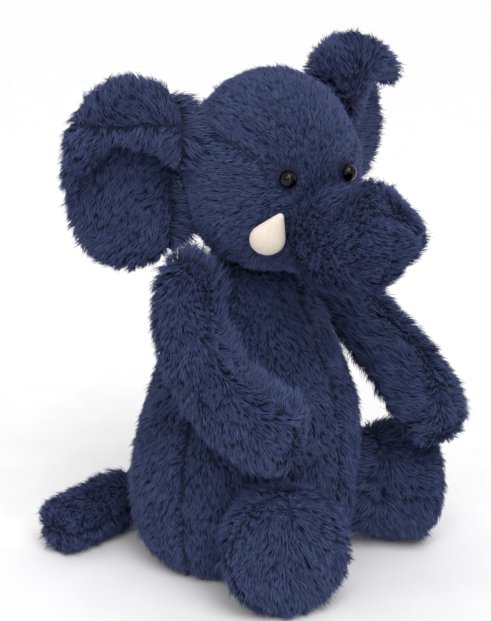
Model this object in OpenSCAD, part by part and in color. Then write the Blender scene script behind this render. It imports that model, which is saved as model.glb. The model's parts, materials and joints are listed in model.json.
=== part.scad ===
/* [Torso] */
// Height of the neck ball's centre above the floor
neck_z = 142; // [136:1:150]
// Radius of the neck ball that the head sits on
neck_r = 30; // [28:1:31]
// Radius of the flat panel that the toy sits on
base_r = 40; // [36:1:42]
// Thickness of the pile fabric
skin = 2; // [1.5:0.1:2.5]
// Gap between pieces that lie against each other
gap = 0.3; // [0.2:0.05:0.5]

/* [Head] */
// Turn of the head to the toy's right
head_yaw = 24; // [18:1:26]
// Half width of the head
head_half_w = 44; // [42:1:46]
// Half depth of the head, front to back
head_half_d = 45; // [42:1:47]
// Half height of the head
head_half_h = 52; // [49:1:54]
// Angle of the seam between gusset and side, from the middle plane
seam_angle = 30; // [24:1:34]
// Radius of an eye
eye_r = 4.4; // [3:0.1:5]

/* [Ears] */
// Reach of an ear from the head
ear_reach = 57; // [52:1:62]
// Half height of an ear at its widest
ear_half_h = 47; // [42:1:49]
// Radius of the rolled top rim
ear_roll = 8.5; // [7:0.5:10]
// Lift of the left ear against the right one
left_ear_lift = 38; // [30:1:40]
// Height of the left ear's root above the right one
left_ear_rise = 6; // [2:1:8]

/* [Limbs] */
// Splay of the right leg from straight ahead
leg_splay_right = 40; // [38:1:45]
// Splay of the left leg from straight ahead
leg_splay_left = 47; // [44:1:50]
// Radius of a foot
foot_r = 32; // [30:1:33]

/* [Hidden] */

plush = [0.16, 0.19, 0.36];
plush_dark = [0.12, 0.14, 0.28];
suedette = [0.92, 0.88, 0.83];
fibre = [0.93, 0.93, 0.9];
plastic = [0.03, 0.03, 0.03];

// Between a skin and what fills it: room for the flat facets of both
filling_clear = 4 * gap;
neck = [0, -4, neck_z];
head_c = [0, -16, neck_z + 66];

// ---- Vectors and curves ----

function unit(v) = v / norm(v);
function flat_turn(p, a) = [p.x * cos(a) - p.y * sin(a), p.x * sin(a) + p.y * cos(a), p.z];
function from_head(p) = head_c + flat_turn(p, -head_yaw);
function to_head(p) = flat_turn(p - head_c, head_yaw);

function spline(a, b, c, d, t) =
  0.5 * (2 * b + (c - a) * t + (2 * a - 5 * b + 4 * c - d) * t * t + (3 * b - a - 3 * c + d) * t * t * t);

// Stations S read at t from 0 to 1, on a smooth curve through them all
function along(S, t) =
  let (n = len(S) - 1, k = min(floor(t * n), n - 1), f = t * n - k)
  spline(S[max(k - 1, 0)], S[k], S[k + 1], S[min(k + 2, n)], f);

// ---- Closed meshes from grids of points ----

function two_triangles(a, b, c, d) = [[a, b, c], [a, c, d]];
function joined(lists) = [for (one = lists) each one];

// A wall between two grids of the same size, closed at its four edges. The first one's faces look
// the way that cross(next column, next row) points
module wall(outer, inner) {
  rows = len(outer);
  cols = len(outer[0]);
  half = rows * cols;
  faces = concat(
    joined([for (i = [0:rows - 2], j = [0:cols - 2]) let (a = i * cols + j, b = a + cols)
      two_triangles(a, a + 1, b + 1, b)]),
    joined([for (i = [0:rows - 2], j = [0:cols - 2]) let (a = half + i * cols + j, b = a + cols)
      two_triangles(a, b, b + 1, a + 1)]),
    joined([for (j = [0:cols - 2]) two_triangles(j + 1, j, half + j, half + j + 1)]),
    joined([for (j = [0:cols - 2]) let (a = (rows - 1) * cols + j)
      two_triangles(a, a + 1, half + a + 1, half + a)]),
    joined([for (i = [0:rows - 2]) let (a = i * cols, b = a + cols)
      two_triangles(a, b, half + b, half + a)]),
    joined([for (i = [0:rows - 2]) let (a = i * cols + cols - 1, b = a + cols)
      two_triangles(b, a, half + a, half + b)])
  );
  polyhedron(points = concat(joined(outer), joined(inner)), faces = faces);
}

// A solid from closed rings, with a point at each end
module stack(rings, first, last) {
  rows = len(rings);
  cols = len(rings[0]);
  faces = concat(
    joined([for (i = [0:rows - 2], j = [0:cols - 1])
      let (k = (j + 1) % cols, a = i * cols + j, b = i * cols + k)
      two_triangles(a, b, b + cols, a + cols)]),
    [for (j = [0:cols - 1]) [rows * cols, (j + 1) % cols, j]],
    [for (j = [0:cols - 1]) let (a = (rows - 1) * cols) [rows * cols + 1, a + j, a + (j + 1) % cols]]
  );
  polyhedron(points = concat(joined(rings), [first, last]), faces = faces);
}

// A cap wall: rings run up the outside, then down the inside; the rim joins the last ring to the first
module shell(rings, outer_pole, inner_pole) {
  rows = len(rings);
  cols = len(rings[0]);
  half = rows / 2;
  n = rows * cols;
  faces = concat(
    joined([for (i = [0:rows - 1], j = [0:cols - 1])
      if (i != half - 1) let (k = (j + 1) % cols, a = i * cols, b = ((i + 1) % rows) * cols)
      two_triangles(a + j, a + k, b + k, b + j)]),
    [for (j = [0:cols - 1]) let (a = (half - 1) * cols) [n, a + j, a + (j + 1) % cols]],
    [for (j = [0:cols - 1]) let (a = half * cols) [n + 1, a + (j + 1) % cols, a + j]]
  );
  polyhedron(points = concat(joined(rings), [outer_pole, inner_pole]), faces = faces);
}

// ---- Soft tubes: limbs, trunk and tail ----

// A station is x, y, z, half width and half height of the tube there
function tube_centre(S, t) = let (s = along(S, t)) [s[0], s[1], s[2]];
function tube_heading(S, t) =
  unit(tube_centre(S, min(t + 0.02, 1)) - tube_centre(S, max(t - 0.02, 0)));

// A point on a tube: up is the way that the tube's half height is measured
function tube_point(S, up, t, swell, u, inset) =
  let (
    s = along(S, t),
    go = tube_heading(S, t),
    side = unit(cross(go, up)),
    rise = cross(side, go)
  )
  [s[0], s[1], s[2]] + side * (s[3] - inset) * swell * cos(u) + rise * (s[4] - inset) * swell * sin(u);

// Angles at which a domed end has its rings, from its point outward
dome_turns = [8, 35, 64];

// Rows of a tube: each is a place along it and how full its section is, with a domed end at each end
function dome_rows(start, finish, dome_a, dome_b, inset, steps) = concat(
  [for (w = dome_turns) [start + inset + dome_a * (1 - cos(w)), sin(w)]],
  [for (k = [0:steps]) [start + dome_a + (finish - dome_b - start - dome_a) * k / steps, 1]],
  [for (k = [2:-1:0]) let (w = dome_turns[k]) [finish - inset - dome_b * (1 - cos(w)), sin(w)]]
);

function tube_grid(S, up, rows, from, to, cols, inset) =
  [for (r = rows) [for (j = [0:cols]) tube_point(S, up, r[0], r[1], from + (to - from) * j / cols, inset)]];

// Half of a tube's skin, from one seam to the other
module tube_skin(S, up, ends, from, to, length, steps = 5, cols = 8) {
  margin = 0.45;
  wall(
    tube_grid(S, up, dome_rows(0, 1, ends[0], ends[1], 0, steps), from + margin, to - margin, cols, 0),
    tube_grid(S, up, dome_rows(0, 1, ends[0], ends[1], skin / length, steps), from + margin, to - margin,
      cols, skin)
  );
}

// What fills a tube, inside its skin
module tube_core(S, up, ends, length, steps = 5, cols = 14) {
  inset = skin + filling_clear;
  rows = dome_rows(0, 1, ends[0], ends[1], inset / length, steps);
  rings = [for (r = rows) [for (j = [0:cols - 1]) tube_point(S, up, r[0], r[1], 360 * j / cols, inset)]];
  stack(rings, tube_centre(S, rows[0][0]), tube_centre(S, rows[len(rows) - 1][0]));
}

// ---- Torso ----

// z, half width, half depth, and the centre's x and y, from the base up to the neck ball
torso_low = [
  [1, 45, 44, 0, 0],
  [12, 57, 56, 0.5, -0.5],
  [30, 62.5, 61, 1, -1.5],
  [50, 62.5, 60.5, 1, -2],
  [74, 59, 57, 1.5, -3],
  [96, 52, 50.5, 1.5, -3.5],
  [118, 44, 42.5, 1, -3.5],
  [132, 37.5, 36.5, 0.5, -4]
];
torso_stations = concat(
  torso_low,
  [for (a = [5, 24, 43, 62, 80]) [neck_z + neck_r * sin(a), neck_r * cos(a), neck_r * cos(a), 0, neck.y]]
);

// Direction and depth of the hollow that each leg's root sits in
hips = [[-90 - leg_splay_right, 31], [-90 + leg_splay_left, 14]];
hip_z = 32;

function turn_between(a, b) = let (d = (a - b) % 360) d > 180 ? d - 360 : (d < -180 ? d + 360 : d);
function dent(u, z) = min(1, z / 9) * max([for (h = hips)
  h[1] * exp(-pow(turn_between(u, h[0]) / 30, 2) - pow((z - hip_z) / 30, 2))]);

function torso_point(t, u, inset) =
  let (s = along(torso_stations, t), in = inset + dent(u, s[0]))
  [s[3] + (s[1] - in) * cos(u), s[4] + (s[2] - in) * sin(u), s[0]];

torso_steps = 16;

module torso_panel(from, to) {
  cols = 10;
  margin = 0.25;
  grid = function(inset) [for (i = [0:torso_steps]) [for (j = [0:cols])
    torso_point(i / torso_steps, from + margin + (to - from - 2 * margin) * j / cols, inset)]];
  color(plush) wall(grid(skin), grid(0));
}

pouch_y = 15;
pouch_r = 28;
pouch_top = 26;

module base_panel() {
  color(plush_dark) cylinder(r = base_r, h = skin, $fn = 96);
}

module bean_pouch() {
  round = 6;
  color("tan") translate([0, pouch_y, skin + gap]) rotate_extrude($fn = 96)
    union() {
      square([pouch_r - round, pouch_top - skin - gap]);
      translate([0, round]) square([pouch_r, pouch_top - skin - gap - 2 * round]);
      translate([pouch_r - round, round]) circle(r = round, $fn = 48);
      translate([pouch_r - round, pouch_top - skin - gap - round]) circle(r = round, $fn = 48);
    }
}

module torso_filling() {
  cols = 24;
  low = 0.2;
  high = 0.985;
  rows = [for (i = [0:12]) low + (high - low) * i / 12];
  inset = skin + 1.6 * filling_clear;
  rings = [for (t = rows) [for (j = [0:cols - 1]) torso_point(t, -360 * j / cols, inset)]];
  base = along(torso_stations, low);
  top = along(torso_stations, high);
  color(fibre) stack(rings, [base[3], base[4], base[0]], [top[3], top[4], top[0]]);
}

// ---- Head ----

muzzle = unit([0, -0.86, -0.5]);
socket_c = to_head(neck);
socket_r = neck_r + 1.3;
// Where the socket cuts the head, a layer's edge is thin: it keeps this much more than its inset
socket_layer = 1.6;

function ball_entry(way, r) =
  let (b = way * socket_c, d = b * b - socket_c * socket_c + r * r)
  (d > 0 && b > 0) ? b - sqrt(d) : 1000;

// How far the head's surface is from its centre; inset gives a layer under that surface
function head_reach(way, inset = 0) =
  let (
    oval = 1 / norm([way.x / head_half_w, way.y / head_half_d, way.z / head_half_h]),
    near = acos(max(-1, min(1, way * muzzle)))
  )
  min(oval + 3 * exp(-pow(near / 26, 2)) - inset, ball_entry(way, socket_r + socket_layer * inset));

// Way from the head's centre: across from the middle plane, and round from straight back over the top
function head_way(across, round) = [sin(across), cos(across) * cos(round), cos(across) * sin(round)];

function head_point(across, round, inset) =
  let (way = head_way(across, round)) from_head(way * head_reach(way, inset));

module head_wall(a0, a1, rows, cols) {
  grid = function(inset) [for (i = [0:rows]) [for (j = [0:cols])
    head_point(a0 + (a1 - a0) * i / rows, 360 * j / cols, inset)]];
  wall(grid(0), grid(skin));
}

// The gusset closes round the head but for a gap under the chin
module head_band() {
  rows = 8;
  cols = 30;
  open = 0.4;
  grid = function(inset) [for (i = [0:rows]) [for (j = [0:cols])
    head_point(-seam_angle + 0.3 + (2 * seam_angle - 0.6) * i / rows,
      -90 + open + (360 - 2 * open) * j / cols, inset)]];
  wall(grid(skin), grid(0));
}

// A side panel is a cap: rings from the seam to a small ring at the side
module head_cap(side) {
  rows = 6;
  cols = 22;
  rim = seam_angle + 0.3;
  last = 86;
  ring = function(a, inset) [for (j = [0:cols - 1]) head_point(side * a, -side * 360 * j / cols, inset)];
  outer = [for (i = [0:rows]) ring(rim + (last - rim) * i / rows, 0)];
  inner = [for (i = [rows:-1:0]) ring(rim + (last - rim) * i / rows, skin)];
  shell(concat(outer, inner), head_point(side * 90, 0, 0), head_point(side * 90, 0, skin));
}

eye_way = unit([16.3, -40, 5]);
function eye_place(side, reach) = from_head([side * eye_way.x, eye_way.y, eye_way.z] * reach);
eye_reach = head_reach(eye_way);
shank_r = 1.3;
washer_r = 5;
washer_depth = 7;
shank_l = 8;

// Puts a child on an eye's axis, looking out of the head, at a reach from the head's centre
module on_eye(side, reach) {
  way = [side * eye_way.x, eye_way.y, eye_way.z];
  out = flat_turn(way, -head_yaw);
  translate(eye_place(side, reach)) rotate([0, acos(out.z), atan2(out.y, out.x)]) children();
}

module eye_holes(r, depth) {
  for (side = [-1, 1]) on_eye(side, eye_reach - depth) cylinder(r = r, h = depth + 5, $fn = 32);
}

module head_gusset() {
  color(plush) difference() {
    head_band();
    eye_holes(shank_r + 0.3, 8);
  }
}

module head_side(side) {
  color(plush) head_cap(side);
}

// The head's facets are the largest, so its filling keeps more room
head_clear = 1.7 * filling_clear;

module head_filling() {
  rows = 16;
  cols = 30;
  inset = skin + head_clear;
  last = 84;
  ring = function(a) [for (j = [0:cols - 1]) head_point(a, 360 * j / cols, inset)];
  color(fibre) difference() {
    stack([for (i = [0:rows]) ring(last - 2 * last * i / rows)],
      head_point(90, 0, inset), head_point(-90, 0, inset));
    eye_holes(washer_r + 0.5, inset + washer_depth);
  }
}

// A glossy dome on a shank that goes through the fabric
module eye(side) {
  dome_h = 4;
  ball = (eye_r * eye_r + dome_h * dome_h) / (2 * dome_h);
  color(plastic) on_eye(side, eye_reach + 0.7) union() {
    intersection() {
      translate([0, 0, dome_h - ball]) sphere(r = ball, $fn = 64);
      cylinder(r = eye_r, h = 10, $fn = 64);
    }
    translate([0, 0, -shank_l]) cylinder(r = shank_r, h = shank_l + 0.2, $fn = 32);
  }
}

// The toothed washer that locks the shank inside the head, drawn as a plain ring
module eye_washer(side) {
  color("white") on_eye(side, eye_reach - skin - 4.2) difference() {
    cylinder(r = washer_r, h = 1.2, $fn = 48);
    translate([0, 0, -1]) cylinder(r = shank_r + 0.1, h = 4, $fn = 32);
  }
}

// ---- Tusks ----

// The left one sits further out, clear of the trunk
tusk_ways = [unit([22, -34.8, -17.5]), unit([28.5, -30, -18])];

// A suedette teardrop, flat to the cheek, its point up against the trunk
module tusk(side) {
  straight = tusk_ways[side < 0 ? 0 : 1];
  way = [side * straight.x, straight.y, straight.z];
  out = flat_turn(way, -head_yaw);
  place = from_head(way * (head_reach(way) + 5.6));
  color(suedette) translate(place) rotate([0, acos(out.z), atan2(out.y, out.x)])
    rotate([0, 0, side * 25]) hull() {
      translate([4, 0, -0.6]) scale([1, 1, 0.55]) sphere(r = 9, $fn = 24);
      translate([-10.5, 0, -1]) sphere(r = 2, $fn = 16);
    }
}

// ---- Trunk ----

// From the face forward, sagging a little, then turned up at the tip
trunk_path = [
  [-15.5, -60, 187, 22, 24],
  [-18.5, -69, 183.5, 22, 23.5],
  [-20.5, -79, 183, 21.5, 22.5],
  [-19.5, -87.5, 191, 20.5, 20.5],
  [-15.5, -96, 200.5, 19.5, 19.5]
];
trunk_up = [0, -0.25, 1];
trunk_root = unit(to_head([-15.5, -60, 187]));
root_side = unit(cross(trunk_root, [0, 0, 1]));
root_rise = cross(root_side, trunk_root);
root_spread = 27;
root_clear = 0.9;

// A point of the trunk's root: it lies on the face, a little clear of it
function root_point(u, part, inset) =
  let (
    a = (root_spread - inset * 1.25) * part,
    way = trunk_root * cos(a) + (root_side * cos(u) + root_rise * sin(u)) * sin(a)
  )
  from_head(way * (head_reach(way) + root_clear));

function trunk_ring(t, u, inset) = tube_point(trunk_path, trunk_up, t, 1, u, inset);

trunk_rows = 7;

// Rows blend from the face's root ring into the round tube
function trunk_point(i, u, inset) =
  i == 0 ? root_point(u, 1, inset) : trunk_ring(0.06 + 0.94 * (i - 1) / (trunk_rows - 1), u, inset);

module trunk_skin(from, to) {
  cols = 9;
  margin = 0.5;
  grid = function(inset) [for (i = [0:trunk_rows]) [for (j = [0:cols])
    trunk_point(i, from + margin + (to - from - 2 * margin) * j / cols, inset)]];
  color(plush) wall(grid(0), grid(skin));
}

trunk_end = along(trunk_path, 1);
trunk_go = tube_heading(trunk_path, 1);

// The round panel that closes the trunk
module trunk_tip() {
  place = [trunk_end[0], trunk_end[1], trunk_end[2]] + trunk_go * gap;
  bulge = 3.5;
  r = trunk_end[3] - 0.5;
  ball = (r * r + bulge * bulge) / (2 * bulge);
  color(plush_dark) translate(place) rotate([0, acos(trunk_go.z), atan2(trunk_go.y, trunk_go.x)])
    intersection() {
      translate([0, 0, bulge + 0.8 - ball]) sphere(r = ball, $fn = 96);
      cylinder(r = r, h = 10, $fn = 96);
    }
}

// How far out on the face, against the root's whole spread, the filling has its rings
face_parts = [0.45, 0.8];

module trunk_filling() {
  cols = 16;
  inset = skin + 2 * filling_clear;
  face = [for (part = face_parts) [for (j = [0:cols - 1]) root_point(360 * j / cols, part, inset)]];
  body = [for (i = [1:trunk_rows]) [for (j = [0:cols - 1]) trunk_point(i, 360 * j / cols, inset)]];
  color(fibre) stack(concat(face, body), root_point(0, 0, 0), tube_centre(trunk_path, 1));
}

// ---- Ears ----

ear_swing = 33;
ear_root = [-41, 17, 1];
ear_mid = 27;
ear_gap = 5.6;
// How far an ear's root may reach in over the head
ear_reach_in = 8;

function ear_half(u) = u < ear_mid ? ear_half_h * (1 - 0.32 * pow((ear_mid - u) / ear_mid, 2))
  : ear_half_h * sqrt(max(0.04, 1 - pow((u - ear_mid) / (ear_reach - ear_mid + 0.8), 2)));
function ear_centre(u) = u < ear_mid ? -1 + 3 * pow((ear_mid - u) / ear_mid, 2) : -1 - 4 * (u - ear_mid) / 30;

// Middle line of the ear at a reach u. From q = 0 it goes up from the bottom edge, from q = 1 it
// rolls forward, and from q = 2 to 3 it hangs down as the flap. Gives y, v and heading
function ear_line(u, q) =
  let (
    half = ear_half(u),
    mid = ear_centre(u),
    r = min(ear_roll, half * 0.4),
    rise = 2 * half - r - 4,
    flap = min(13, half * 0.4),
    turn = 190,
    f = (q - 2) * flap,
    a = turn * (q - 1)
  )
  q < 1 ? [0, mid - half + q * rise, 90]
  : q < 2 ? [r * cos(a) - r, mid - half + rise + r * sin(a), 90 + a]
  : [r * cos(turn) - r + f * sin(10), mid - half + rise + r * sin(turn) - f * cos(10), 90 + turn];

function ear_thick(p, q) =
  let (
    edge = max(0, min(1, min(q / 0.25, (3 - q) / 0.9))),
    tip = min(1, (1 - p) / 0.18),
    root = min(1, 0.45 + p / 0.3)
  )
  2.6 + (1.8 + 1.8 * max(0, min(1, q - 0.7))) * sqrt(edge * (2 - edge)) * sqrt(tip * (2 - tip)) * root;

// A point of the ear's own frame, in the head's frame
function ear_on_head(side, p) =
  let (
    lift = side > 0 ? left_ear_lift : 0,
    a = [p.x * cos(lift) + p.z * sin(lift), p.y, p.z * cos(lift) - p.x * sin(lift)],
    b = ear_root + flat_turn(a, -ear_swing)
  )
  [side < 0 ? b.x : -b.x, b.y, b.z + (side > 0 ? left_ear_rise : 0)];

// How far out the ear must start, at y and v, to be clear of the head
function ear_start(side, y, v, u, tries) =
  tries == 0 ? u : let (p = ear_on_head(side, [-u, y, v]), clear = norm(p) - head_reach(unit(p)))
  ear_start(side, y, v, max(-ear_reach_in, u + ear_gap - clear), tries - 1);

// A point of the ear; across is its distance from the middle line, to the front when negative
function ear_point(side, p, q, across) =
  let (
    guess = ear_line(ear_reach * p, q),
    off = [sin(guess[2]), -cos(guess[2])] * across,
    near = ear_start(side, guess[0] + off[0], guess[1] + off[1], -ear_reach_in, 9),
    u = near + (ear_reach - near) * p,
    m = ear_line(u, q),
    cup = -6 * pow(max(0, u) / ear_reach, 2),
    out = [sin(m[2]), -cos(m[2])]
  )
  [-u, m[0] + cup + out[0] * across, m[1] + out[1] * across];

ear_rows = 9;
// Places along the ear's section, closer together round the roll
ear_stops = [0, 0.07, 0.25, 0.5, 0.75, 1, 1.17, 1.33, 1.5, 1.67, 1.83, 2, 2.4, 2.8, 3];

function ear_grid(side, margin, level) =
  let (n = len(ear_stops) - 1)
  [for (i = [0:ear_rows]) [for (j = [0:n])
    let (
      p = margin + (1 - 2 * margin) * (1 - pow(1 - i / ear_rows, 1.25)),
      q = 3 * margin + (1 - 2 * margin) * ear_stops[side < 0 ? n - j : j]
    )
    from_head(ear_on_head(side, ear_point(side, p, q, level[0] * ear_thick(p, q) + level[1])))]];

module ear_front(side) {
  color(plush) wall(ear_grid(side, 0, [-1, 0]), ear_grid(side, 0, [-1, skin]));
}

module ear_back(side) {
  color(plush_dark) wall(ear_grid(side, 0, [1, -skin]), ear_grid(side, 0, [1, 0]));
}

module ear_pad(side) {
  inset = skin + filling_clear;
  color(fibre) wall(ear_grid(side, 0.1, [-1, inset]), ear_grid(side, 0.1, [1, -inset]));
}

// ---- Arms ----

// Shoulder to paw
arm_right = [
  [-37, 2, 166, 12, 12],
  [-47.5, 0.5, 156.5, 15, 15],
  [-57.5, -6, 139, 16, 16],
  [-60.5, -18, 119, 16.5, 16.5],
  [-60, -34, 105, 17.5, 17.5],
  [-56, -50, 95, 18.5, 18.5],
  [-50, -66, 86, 18, 18]
];
arm_left = [
  [38, -5, 160, 11, 11],
  [47.5, -10, 151, 14, 14],
  [55, -22, 138, 15, 15],
  [58.5, -38, 122, 15.8, 15.8],
  [58.5, -56, 106, 16.8, 16.8],
  [55.5, -75, 89, 18, 18],
  [52, -92, 66, 17.5, 17.5]
];
arm_up = [1, 0, 0.15];
arm_ends = [0.08, 0.14];
arm_length = 110;

module arm_skin(S, from) {
  color(plush) tube_skin(S, arm_up, arm_ends, from, from + 180, arm_length, steps = 7);
}

module arm_core(S) {
  color(fibre) tube_core(S, arm_up, arm_ends, arm_length, steps = 7);
}

// ---- Legs ----

// Along a leg: how far along it, height, half width and half height
leg_profile = [
  [0, 31.6, 20, 20],
  [0.25, 31.2, 24, 24.5],
  [0.5, 31.6, 27, 27.5],
  [0.75, 32.4, 29.5, 30.5],
  [1, 33.4, foot_r, foot_r]
];
leg_length = 40;
// thigh makes the leg's root higher
function leg_path(splay, start, thigh) = [for (s = leg_profile) let (reach = start + s[0] * leg_length)
  let (lift = thigh * (1 - s[0]) / 2)
  [reach * sin(splay), -reach * cos(splay), s[1] + lift, s[2], s[3] + lift]];
leg_up = [0, 0, 1];
leg_paths = [leg_path(-leg_splay_right, 42, 0), leg_path(leg_splay_left, 58, 10)];

// Rows of a leg: domed at the hip, open at the sole
leg_dome = 0.24;
leg_rows = concat(
  [for (w = dome_turns) [leg_dome * (1 - cos(w)), sin(w)]],
  [for (k = [0:4]) [leg_dome + (1 - leg_dome) * k / 4, 1]]
);

module leg_skin(S, from) {
  margin = 0.4;
  grid = function(inset) [for (r = leg_rows) [for (j = [0:10])
    tube_point(S, leg_up, r[0] + inset * (1 - r[0]) / leg_length, r[1],
      from + margin + (180 - 2 * margin) * j / 10, inset)]];
  color(plush) wall(grid(0), grid(skin));
}

module leg_core(S) {
  inset = skin + filling_clear;
  cols = 18;
  rings = [for (r = leg_rows) [for (j = [0:cols - 1])
    tube_point(S, leg_up, r[0] + inset * (1 - r[0]) / leg_length, r[1], 360 * j / cols, inset)]];
  color(fibre) stack(rings, tube_centre(S, inset / leg_length), tube_centre(S, 1));
}

// The round sole, bulging out of the leg's end
module leg_sole(S) {
  go = tube_heading(S, 1);
  bulge = 6;
  r = foot_r - 0.4;
  ball = (r * r + bulge * bulge) / (2 * bulge);
  color(plush_dark) translate(tube_centre(S, 1) + go * gap) rotate([0, acos(go.z), atan2(go.y, go.x)])
    intersection() {
      translate([0, 0, bulge + 0.8 - ball]) sphere(r = ball, $fn = 96);
      cylinder(r = r, h = 12, $fn = 96);
    }
}

// ---- Tail ----

tail_path = [
  [-4, 70, 19, 10, 11],
  [-17, 74, 17, 13, 14],
  [-34, 76.5, 15.5, 15, 14.8],
  [-51, 78.5, 14.6, 15.5, 14],
  [-66.5, 81.5, 13.2, 15, 12.6]
];
tail_up = [0, 0, 1];
tail_ends = [0.14, 0.15];
tail_length = 66;

module tail_skin(from) {
  color(plush) tube_skin(tail_path, tail_up, tail_ends, from, from + 180, tail_length, steps = 4);
}

module tail_filling() {
  color(fibre) tube_core(tail_path, tail_up, tail_ends, tail_length, steps = 4, cols = 12);
}

base_panel();
torso_panel(-180, -90);  // front_panel_right
torso_panel(-90, 0);  // front_panel_left
torso_panel(0, 90);  // back_panel_left
torso_panel(90, 180);  // back_panel_right
torso_filling();
bean_pouch();
head_side(-1);  // head_side_right
head_side(1);  // head_side_left
head_gusset();
head_filling();
trunk_skin(0, 180);  // trunk_top
trunk_skin(180, 360);  // trunk_underside
trunk_tip();
trunk_filling();
eye(-1);  // eye_right
eye(1);  // eye_left
eye_washer(-1);  // eye_washer_right
eye_washer(1);  // eye_washer_left
tusk(-1);  // tusk_right
tusk(1);  // tusk_left
ear_front(-1);  // ear_right_front
ear_back(-1);  // ear_right_back
ear_pad(-1);  // ear_right_pad
ear_front(1);  // ear_left_front
ear_back(1);  // ear_left_back
ear_pad(1);  // ear_left_pad
arm_skin(arm_right, 180);  // arm_right_outer
arm_skin(arm_right, 0);  // arm_right_inner
arm_core(arm_right);  // arm_right_filling
arm_skin(arm_left, 0);  // arm_left_outer
arm_skin(arm_left, 180);  // arm_left_inner
arm_core(arm_left);  // arm_left_filling
leg_skin(leg_paths[0], 0);  // leg_right_upper
leg_skin(leg_paths[0], 180);  // leg_right_lower
leg_sole(leg_paths[0]);  // leg_right_sole
leg_core(leg_paths[0]);  // leg_right_filling
leg_skin(leg_paths[1], 0);  // leg_left_upper
leg_skin(leg_paths[1], 180);  // leg_left_lower
leg_sole(leg_paths[1]);  // leg_left_sole
leg_core(leg_paths[1]);  // leg_left_filling
tail_skin(0);  // tail_upper
tail_skin(180);  // tail_lower
tail_filling();
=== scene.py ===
"""Looks of a sitting plush elephant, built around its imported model."""

import json
import logging
import math
from dataclasses import dataclass, field
from enum import Enum
from typing import Callable

import bpy
import numpy as np
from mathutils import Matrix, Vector
from mathutils.bvhtree import BVHTree


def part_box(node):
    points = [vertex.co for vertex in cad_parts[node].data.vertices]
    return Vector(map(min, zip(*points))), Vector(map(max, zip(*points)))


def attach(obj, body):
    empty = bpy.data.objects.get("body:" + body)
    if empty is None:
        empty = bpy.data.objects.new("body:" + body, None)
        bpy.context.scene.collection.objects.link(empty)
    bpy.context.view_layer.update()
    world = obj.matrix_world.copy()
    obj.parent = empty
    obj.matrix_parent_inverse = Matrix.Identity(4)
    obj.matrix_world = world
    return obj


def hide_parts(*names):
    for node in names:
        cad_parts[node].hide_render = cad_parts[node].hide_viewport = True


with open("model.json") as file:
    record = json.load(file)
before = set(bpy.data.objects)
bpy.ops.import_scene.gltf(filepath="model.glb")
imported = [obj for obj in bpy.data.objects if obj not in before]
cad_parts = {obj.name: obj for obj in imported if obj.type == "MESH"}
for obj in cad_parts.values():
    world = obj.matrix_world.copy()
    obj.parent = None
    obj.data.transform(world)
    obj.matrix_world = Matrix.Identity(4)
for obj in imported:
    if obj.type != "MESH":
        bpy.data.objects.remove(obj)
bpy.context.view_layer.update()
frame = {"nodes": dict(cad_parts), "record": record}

log = logging.getLogger("elephant")
MM = 0.001


class Side(Enum):
    """The toy's own right and left."""

    RIGHT = "right"
    LEFT = "left"


# ---- Small helpers for meshes and vectors ----


def deselect_all() -> None:
    """Leaves nothing selected."""
    for item in bpy.context.selected_objects:
        item.select_set(False)


def pick(item: bpy.types.Object) -> None:
    """Selects one object alone and makes it active."""
    deselect_all()
    item.select_set(True)
    bpy.context.view_layer.objects.active = item


def unit(v: np.ndarray) -> np.ndarray:
    """Vectors scaled to length one.

    Args:
        v: one vector, or rows of vectors.
    Returns:
        An array of the same shape.
    """
    return v / np.maximum(np.linalg.norm(v, axis=-1, keepdims=True), 1e-9)


def flatten(v: np.ndarray, normal: np.ndarray) -> np.ndarray:
    """Vectors laid into the planes across normal, at length one."""
    return unit(v - normal * np.sum(v * normal, axis=-1, keepdims=True))


def coordinates(mesh: bpy.types.Mesh) -> np.ndarray:
    """A mesh's points, one per row."""
    co = np.empty(len(mesh.vertices) * 3, np.float32)
    mesh.vertices.foreach_get("co", co)
    return co.reshape(-1, 3).astype(float)


def set_coordinates(mesh: bpy.types.Mesh, co: np.ndarray) -> None:
    """Moves a mesh's points."""
    mesh.vertices.foreach_set("co", co.astype(np.float32).ravel())
    mesh.update()


def normals(mesh: bpy.types.Mesh) -> np.ndarray:
    """A mesh's point normals, one per row."""
    out = np.empty(len(mesh.vertices) * 3, np.float32)
    mesh.vertex_normals.foreach_get("vector", out)
    return out.reshape(-1, 3).astype(float)


def node_points(node: str) -> np.ndarray:
    """Corners of a CAD node's mesh, one per row, in metres."""
    return coordinates(frame["nodes"][node].data)


def node_centre(node: str) -> np.ndarray:
    """Middle of a CAD node's box."""
    low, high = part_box(node)
    return (np.array(low) + np.array(high)) / 2


def joint(name: str) -> tuple[np.ndarray, np.ndarray]:
    """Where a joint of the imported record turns.

    Args:
        name: the joint's name.
    Returns:
        A point of its axis, and the axis at length one.
    """
    for one in frame["record"]["behaviour"]["joints"]:
        if one["name"] == name:
            return np.array(one["pos_m"], float), unit(np.array(one["axis"], float))
    raise KeyError(name)


def tree_of(node: str) -> BVHTree:
    """A search tree over a CAD node's faces."""
    mesh = frame["nodes"][node].data
    return BVHTree.FromPolygons(
        [v.co for v in mesh.vertices], [p.vertices for p in mesh.polygons]
    )


def ripple(p: np.ndarray, size: float, seed: int) -> np.ndarray:
    """Slow noise from -1 to 1 over space.

    Args:
        p: points, one per row.
        size: length of a wave in metres.
        seed: which noise.
    Returns:
        One value for each point.
    """
    waves = 7
    usual_sum = 3.2
    rng = np.random.default_rng(seed)
    total = np.zeros(len(p))
    for _ in range(waves):
        way = unit(rng.normal(size=3)) * 2 * math.pi / (size * rng.uniform(0.7, 1.6))
        total += np.sin(p @ way + rng.uniform(0, 2 * math.pi))
    return np.clip(total / usual_sum, -1, 1)


# ---- Materials ----


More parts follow.
